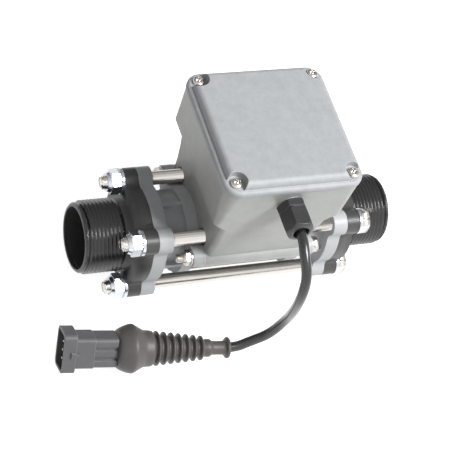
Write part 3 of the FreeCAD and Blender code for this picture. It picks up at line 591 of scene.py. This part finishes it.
@dataclass
class Studio:
    """A pale floor, a bright sky and soft lamps that point at the meter."""

    floor_size: float = 12.0
    floor_tone: float = 0.65
    floor_roughness: float = 0.9
    floor_lift: float = 0.9
    sky: float = 0.21
    sky_ahead: float = 1.4
    sky_behind: float = 0.25
    key_place: Point = (0.62, -0.6, 1.25)
    key_power: float = 26.0
    key_size: float = 0.6
    fill_place: Point = (-0.9, -0.9, 0.8)
    fill_power: float = 0.3
    fill_size: float = 0.9
    lamp_target: Point = (0.0, 0.0, 0.05)

    def build(self) -> None:
        """Make the floor, the world and the lamps."""
        self._floor()
        self._world()
        self._lamp("key_lamp", self.key_place, self.key_power, self.key_size)
        self._lamp("fill_lamp", self.fill_place, self.fill_power, self.fill_size)
        bpy.context.scene.view_settings.view_transform = "Standard"

    def _floor(self) -> None:
        """A wide matt floor that looks white to the eye and keeps soft shadows."""
        deselect_all()
        bpy.ops.mesh.primitive_plane_add(size=self.floor_size, location=(0, 0, 0))
        floor = bpy.context.view_layer.objects.active
        floor.name = "floor"
        made = bpy.data.materials.new("floor_white")
        made.use_nodes = True
        tree = made.node_tree
        shader = tree.nodes["Principled BSDF"]
        shader.inputs["Base Color"].default_value = opaque((self.floor_tone,) * 3)
        shader.inputs["Roughness"].default_value = self.floor_roughness
        shader.inputs["Specular IOR Level"].default_value = 0.0
        glow = tree.nodes.new("ShaderNodeEmission")
        lift = tree.nodes.new("ShaderNodeMath")
        lift.operation = "MULTIPLY"
        lift.inputs[1].default_value = self.floor_lift
        seen = self._seen(tree, "Is Camera Ray", "Is Glossy Ray", "Is Transmission Ray")
        tree.links.new(seen, lift.inputs[0])
        tree.links.new(lift.outputs["Value"], glow.inputs["Strength"])
        both = tree.nodes.new("ShaderNodeAddShader")
        tree.links.new(shader.outputs["BSDF"], both.inputs[0])
        tree.links.new(glow.outputs["Emission"], both.inputs[1])
        tree.links.new(both.outputs["Shader"], tree.nodes["Material Output"].inputs["Surface"])
        floor.data.materials.append(made)

    def _seen(self, tree: bpy.types.NodeTree, *rays: str) -> bpy.types.NodeSocket:
        """One for rays of the kinds asked for, and zero for plain light."""
        path = tree.nodes.new("ShaderNodeLightPath")
        total = path.outputs[rays[0]]
        for ray in rays[1:]:
            either = tree.nodes.new("ShaderNodeMath")
            either.operation = "MAXIMUM"
            tree.links.new(total, either.inputs[0])
            tree.links.new(path.outputs[ray], either.inputs[1])
            total = either.outputs["Value"]
        return total

    def _world(self) -> None:
        """An even sky, white to the eye, that mirrors show bright in front and dim behind."""
        world = bpy.data.worlds.new("sky")
        bpy.context.scene.world = world
        world.use_nodes = True
        tree = world.node_tree
        sky = tree.nodes["Background"]
        apart = tree.nodes.new("ShaderNodeSeparateXYZ")
        tree.links.new(tree.nodes.new("ShaderNodeTexCoord").outputs["Generated"], apart.inputs["Vector"])
        mirrored = stretched(tree, apart.outputs["Y"], (-1.0, 1.0), (self.sky_ahead, self.sky_behind))
        lit = stretched(tree, self._seen(tree, "Is Glossy Ray"), (0.0, 1.0), (self.sky, mirrored))
        looked_at = self._seen(tree, "Is Camera Ray", "Is Transmission Ray")
        tree.links.new(stretched(tree, looked_at, (0.0, 1.0), (lit, 1.0)), sky.inputs["Strength"])
        sky.inputs["Color"].default_value = opaque((1.0, 1.0, 1.0))

    def _lamp(self, name: str, place: Point, power: float, size: float) -> None:
        """A square soft lamp that points at the meter."""
        data = bpy.data.lights.new(name, "AREA")
        data.energy = power
        data.size = size
        lamp = bpy.data.objects.new(name, data)
        bpy.context.scene.collection.objects.link(lamp)
        away = Vector(place) - Vector(self.lamp_target)
        lamp.rotation_euler = away.to_track_quat("Z", "Y").to_euler()
        lamp.location = place


# ---------------------------------------------------------------- sub-assemblies
@dataclass
class SignalCable:
    """The free cable from the gland to the boot."""

    diameter: float = 0.0058
    length: float = 0.13
    order: int = 3
    steps_along: int = 16
    steps_round: int = 8
    route: tuple[Point, ...] = (
        (0.0, -0.05335, 0.1033), (0.0, -0.06285, 0.1033), (-0.0011, -0.0718, 0.0999),
        (0.0001, -0.0803, 0.0923), (-0.0005, -0.0848, 0.0803), (0.0028, -0.0815, 0.0606),
        (0.0062, -0.0759, 0.0414), (0.0013, -0.0749, 0.0255), (-0.0079, -0.0735, 0.0173),
        (-0.0167, -0.0744, 0.0140), (-0.0259, -0.0732, 0.0140))

    def build(self) -> bpy.types.Object:
        """Lay the cable along its route.

        Returns:
            The cable.
        """
        data = bpy.data.curves.new("signal_cable", "CURVE")
        data.dimensions = "3D"
        data.bevel_depth = self.diameter / 2
        data.bevel_resolution = self.steps_round
        data.resolution_u = self.steps_along
        data.use_fill_caps = True
        spline = data.splines.new("NURBS")
        spline.points.add(len(self.route) - 1)
        for point, place in zip(spline.points, self.route):
            point.co = (*place, 1.0)
        spline.order_u = self.order
        spline.use_endpoint_u = True
        cable = bpy.data.objects.new("signal_cable", data)
        bpy.context.scene.collection.objects.link(cable)
        data.materials.append(CABLE_JACKET.material())
        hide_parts("cable")
        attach(cable, METER_BODY)
        log.info("piece %s", cable.name)
        return cable


@dataclass
class ThreadedNipple:
    """A threaded pipe end with its clamping flange."""

    node: str
    side: int
    crest: float = 0.020955
    root: float = 0.01956
    pitch: float = 0.002309
    neck_end: float = 0.0715
    thread_end: float = 0.0929
    core: float = 0.0193
    fit: float = 0.0001
    thread_steps: int = 72
    sharp_angle: float = 40.0

    def build(self) -> bpy.types.Object:
        """Cut the thread zone down to its core and wind the thread round it.

        Returns:
            The nipple.
        """
        body = copy_node(self.node, self.node + "_threaded")

        def on_crest(co: Vector) -> bool:
            """Whether a vertex lies on the plain thread cylinder."""
            radius = math.hypot(co.y, co.z - AXIS_HEIGHT)
            on_stretch = self.neck_end - self.fit < abs(co.x) < self.thread_end + self.fit
            return on_stretch and radius > self.crest - self.fit

        count = pick_vertices(body, on_crest)
        log.info("%s: %d vertices sunk to the core", body.name, count)
        shrink = self.core / self.crest
        bpy.ops.transform.resize(value=(1, shrink, shrink), center_override=(0, 0, AXIS_HEIGHT))
        leave_edit()
        thread = thread_sleeve(self.neck_end, self.thread_end, self.crest, self.root, self.pitch,
                               self.thread_steps)
        place_at(thread, (0, 0, AXIS_HEIGHT), 0.0 if self.side > 0 else math.pi)
        join_onto(body, [thread])
        settle(body, body.name, self.sharp_angle)
        nipple = carry(body, BLACK_NYLON, "black_plastic", METER_BODY, self.node)
        # The thread zone takes the darker copy of the nylon, as painted shade in the grooves.
        nipple.data.materials.append(SHADED_THREAD_NYLON.material())
        for face in nipple.data.polygons:
            radius = math.hypot(face.center.y, face.center.z - AXIS_HEIGHT)
            past_neck = abs(face.center.x) > self.neck_end - self.pitch / 2
            face.material_index = int(past_neck and radius > self.core - self.fit)
        return nipple


@dataclass
class CableBoot:
    """The rubber boot between cable and connector: bead, neck, bellows and cup.

    bead_and_neck and cup are (station, radius) pairs from the mouth.  fold gives one fold as (share
    of the pitch from its middle, drop under its crest) pairs.
    """

    mouth: Point = (-0.0200, -0.0739, 0.0140)
    heading: float = 172.64
    segments: int = 48
    sharp_angle: float = 60.0
    folds_start: float = 0.0148
    fold_pitch: float = 0.00433
    fold_count: int = 7
    first_fold: float = 0.0071
    last_fold: float = 0.0099
    bead_and_neck: tuple[Span, ...] = (
        (0.0, 0.0031), (0.0, 0.0050), (0.0003, 0.0058), (0.0009, 0.0061), (0.0015, 0.0061),
        (0.0022, 0.0057), (0.0024, 0.0044), (0.0030, 0.0039), (0.0104, 0.0039), (0.0110, 0.0043),
        (0.0112, 0.0048), (0.0118, 0.0051), (0.0144, 0.0051))
    fold: tuple[Span, ...] = (
        (-0.42, 0.0024), (-0.24, 0.0019), (-0.13, 0.0002), (0.0, 0.0), (0.13, 0.0002), (0.24, 0.0019),
        (0.42, 0.0024))
    cup: tuple[Span, ...] = (
        (0.0456, 0.0096), (0.0460, 0.0102), (0.0500, 0.0102), (0.0512, 0.0106), (0.0550, 0.01285),
        (0.0566, 0.0138), (0.0574, 0.0140), (0.0590, 0.01375), (0.0617, 0.0128), (0.0645, 0.0115),
        (0.0656, 0.0106), (0.0663, 0.0093), (0.0666, 0.0084), (0.0666, 0.0073))

    def rings(self) -> list[Span]:
        """The turned outline.

        Returns:
            (station, radius) pairs from the mouth to the connector.
        """
        outline = list(self.bead_and_neck)
        for fold in range(self.fold_count):
            share = fold / (self.fold_count - 1)
            crest = self.first_fold + share * (self.last_fold - self.first_fold)
            middle = self.folds_start + self.fold_pitch * (fold + 0.5)
            outline += [(middle + along * self.fold_pitch, crest - drop) for along, drop in self.fold]
        return outline + list(self.cup)

    def build(self) -> bpy.types.Object:
        """Draw out the boot and put it on the cable's end.

        Returns:
            The boot.
        """
        boot = lathe_from_ring(self.rings(), self.segments)
        apply_modifier(boot, "SUBSURF", levels=1, render_levels=1)
        place_at(boot, self.mouth, math.radians(self.heading))
        settle(boot, "bellows_boot", self.sharp_angle)
        return carry(boot, BOOT_RUBBER, "boot_rubber", METER_BODY, "connector_boot")


@dataclass(frozen=True)
class Level:
    """A section of the housing: height over the pipe axis, half widths along and across it, corner radius."""

    height: float
    along: float
    across: float
    radius: float

    def toward(self, other: "Level", share: float) -> "Level":
        """A section between this one and another.

        Args:
            other: The other section.
            share: 0 for this one, 1 for the other.

        Returns:
            The section between.
        """
        pairs = zip(vars(self).values(), vars(other).values())
        return Level(*(first + share * (last - first) for first, last in pairs))


@dataclass
class HousingShell:
    """The cast housing, its corners drawn in from the soft lid end to the crisp neck.

    solid holds the sections of the frame's housing, and cast the sections that they become.
    """

    node: str = "sensor_housing"
    fit: float = 0.0001
    sharp_angle: float = 30.0
    solid: tuple[Level, ...] = (
        Level(0.0855, 0.0410, 0.0410, 0.009), Level(0.0570, 0.0383, 0.0383, 0.009),
        Level(0.0520, 0.0300, 0.0377, 0.009), Level(0.0340, 0.0300, 0.0350, 0.009),
        Level(0.0240, 0.0300, 0.0335, 0.006), Level(0.0150, 0.0300, 0.0322, 0.003))
    cast: tuple[Level, ...] = (
        Level(0.0855, 0.0410, 0.0410, 0.009), Level(0.0560, 0.0383, 0.0382, 0.0028),
        Level(0.0500, 0.0322, 0.0374, 0.0030), Level(0.0340, 0.0303, 0.0350, 0.0030),
        Level(0.0240, 0.0300, 0.0335, 0.0034), Level(0.0150, 0.0300, 0.0322, 0.003))

    def sections(self, height: float) -> tuple[Level, Level] | None:
        """The housing's section at a height, and the one it becomes.

        Args:
            height: Height over the pipe axis.

        Returns:
            The solid's section and the cast one, or None outside the levels.
        """
        ends = list(zip(self.solid, self.cast))
        for (top, cast_top), (foot, cast_foot) in zip(ends, ends[1:]):
            if foot.height - MERGE_GAP <= height <= top.height + MERGE_GAP:
                share = (height - foot.height) / (top.height - foot.height)
                return foot.toward(top, share), cast_foot.toward(cast_top, share)
        return None

    def drawn_in(self, co: Vector) -> Vector:
        """Where a point of the housing goes when the corners are drawn in.

        Args:
            co: The point.

        Returns:
            Its new place; a point off the outer corners and neck ends stays.
        """
        pair = self.sections(co.z - AXIS_HEIGHT)
        if pair is None:
            return co
        solid, cast = pair
        inward = Vector((solid.along - abs(co.x), solid.across - abs(co.y)))
        off_arc = (inward - Vector((solid.radius, solid.radius))).length - solid.radius
        if max(inward) < solid.radius + self.fit and abs(off_arc) < self.fit:
            inward *= cast.radius / solid.radius
            along, across = cast.along - inward.x, cast.across - inward.y
            height = cast.height + AXIS_HEIGHT
        elif abs(inward.x) < self.fit and inward.y > 0:
            along, across, height = cast.along, abs(co.y), co.z
        else:
            return co
        return Vector((math.copysign(along, co.x), math.copysign(across, co.y), height))

    def build(self) -> bpy.types.Object:
        """Draw the corners of a copy in and shade its walls flat and its corners round.

        Returns:
            The housing.
        """
        shell = copy_node(self.node, "cast_housing")
        moved = 0
        for vertex in shell.data.vertices:
            place = self.drawn_in(vertex.co)
            moved += (place - vertex.co).length > MERGE_GAP
            vertex.co = place
        log.info("%s: %d vertices drawn in", shell.name, moved)
        take(shell)
        bpy.ops.mesh.customdata_custom_splitnormals_clear()
        settle(shell, shell.name, self.sharp_angle)
        apply_modifier(shell, "WEIGHTED_NORMAL", keep_sharp=True)
        return carry(shell, CAST_SILVER, "cast_aluminium", METER_BODY, self.node)


@dataclass
class BoltThreads:
    """Threads on the bolt ends that stand out of their nuts, on the side of negative X."""

    node: str
    slot: str
    finish: Finish
    places: tuple[tuple[float, float], ...]
    nut_face: float
    end: float
    crest: float
    pitch: float
    depth_share: float = 0.66
    root_over_core: float = 0.0001
    end_margin: float = 0.0004
    turns_in_nut: int = 2
    fit: float = 0.00001
    grasp: float = 1.1
    thread_steps: int = 40
    sharp_angle: float = 40.0

    def build(self) -> bpy.types.Object:
        """Sink the bolt ends to the core and wind threads round them.

        Returns:
            The bolts.
        """
        core = self.crest - self.depth_share * self.pitch
        body = copy_node(self.node, self.node + "_threaded")
        into_edit(body, "SELECT")
        bpy.ops.mesh.bisect(plane_co=(self.nut_face, 0, 0), plane_no=(1, 0, 0))
        leave_edit()
        threads = []
        for across, height in self.places:
            centre = Vector((0, across, height))

            def on_end(co: Vector, centre: Vector = centre) -> bool:
                """Whether a vertex belongs to this bolt's end."""
                near = math.hypot(co.y - centre.y, co.z - centre.z)
                return co.x < self.nut_face - self.fit and near < self.grasp * self.crest

            pick_vertices(body, on_end)
            shrink = core / self.crest
            bpy.ops.transform.resize(value=(1, shrink, shrink), center_override=centre)
            leave_edit()
            thread = thread_sleeve(-self.nut_face - self.turns_in_nut * self.pitch,
                                   -self.end - self.end_margin, self.crest,
                                   core + self.root_over_core, self.pitch, self.thread_steps)
            place_at(thread, centre, math.pi)
            threads.append(thread)
        join_onto(body, threads)
        settle(body, body.name, self.sharp_angle)
        return carry(body, self.finish, self.slot, METER_BODY, self.node)


@dataclass
class FrameFinishes:
    """Finishes of the solids that show as they are."""

    finishes: tuple[tuple[Finish, tuple[str, ...]], ...] = (
        (FLANGE_GREY, ("inlet_body", "outlet_body")),
        (SEAL_RUBBER, ("flange_seals", "tube_seals", "lid_gasket", "gland_seal")),
        (LID_SILVER, ("lid",)),
        (DRAWN_STEEL, ("flow_tube", "rotor_shaft", "snap_rings")),
        (VANE_PLASTIC, ("inlet_straightener", "outlet_support")),
        (BUSH_CARBON, ("rotor_bushes",)),
        (ROTOR_PLASTIC, ("rotor",)),
        (PICKUP_SHELL, ("pickup_sensor",)),
        (BOARD_LAMINATE, ("circuit_board",)),
        (BRIGHT_ZINC, ("board_screws", "tie_head_washers", "tie_nut_washers", "tie_nuts")),
        (WARM_ZINC, ("lid_screws", "clamp_washers", "clamp_nuts")),
        (GLAND_NYLON, ("gland_body", "gland_nut", "gland_locknut")),
        (PLUG_NYLON, ("connector_housing",)),
        (PIN_BRASS, ("contact_pins",)))

    def build(self) -> None:
        """Give each solid of the frame its own finish."""
        for finish, nodes in self.finishes:
            for node in nodes:
                solid = frame["nodes"][node]
                solid.data.materials.clear()
                solid.data.materials.append(finish.material())
                log.info("solid %s in %s", node, finish.name)


# ---------------------------------------------------------------- the meter
TIE_SPREAD = 0.0213
CLAMP_ACROSS = 0.0288
CLAMP_RISE = 0.0128


def main() -> None:
    """Build the meter's looks in order."""
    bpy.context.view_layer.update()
    Viewpoint().build()
    cable = SignalCable()
    lead = cable.build()
    FrameFinishes().build()
    HousingShell().build()
    for node, side in (("inlet_nipple", -1), ("outlet_nipple", 1)):
        ThreadedNipple(node, side).build()
    sides = (-TIE_SPREAD, TIE_SPREAD)
    BoltThreads("tie_bolts", "stainless", DRAWN_STEEL,
                places=tuple((across, AXIS_HEIGHT + rise) for across in sides for rise in sides),
                nut_face=-0.0757, end=-0.0788, crest=0.004, pitch=0.00125).build()
    BoltThreads("clamp_bolts", "zinc_steel", WARM_ZINC,
                places=tuple((across, AXIS_HEIGHT + CLAMP_RISE) for across in (-CLAMP_ACROSS, CLAMP_ACROSS)),
                nut_face=-0.0422, end=-0.0462, crest=0.0025, pitch=0.0008).build()
    boot = CableBoot().build()
    Studio().build()


if __name__ == "__main__":
    main()
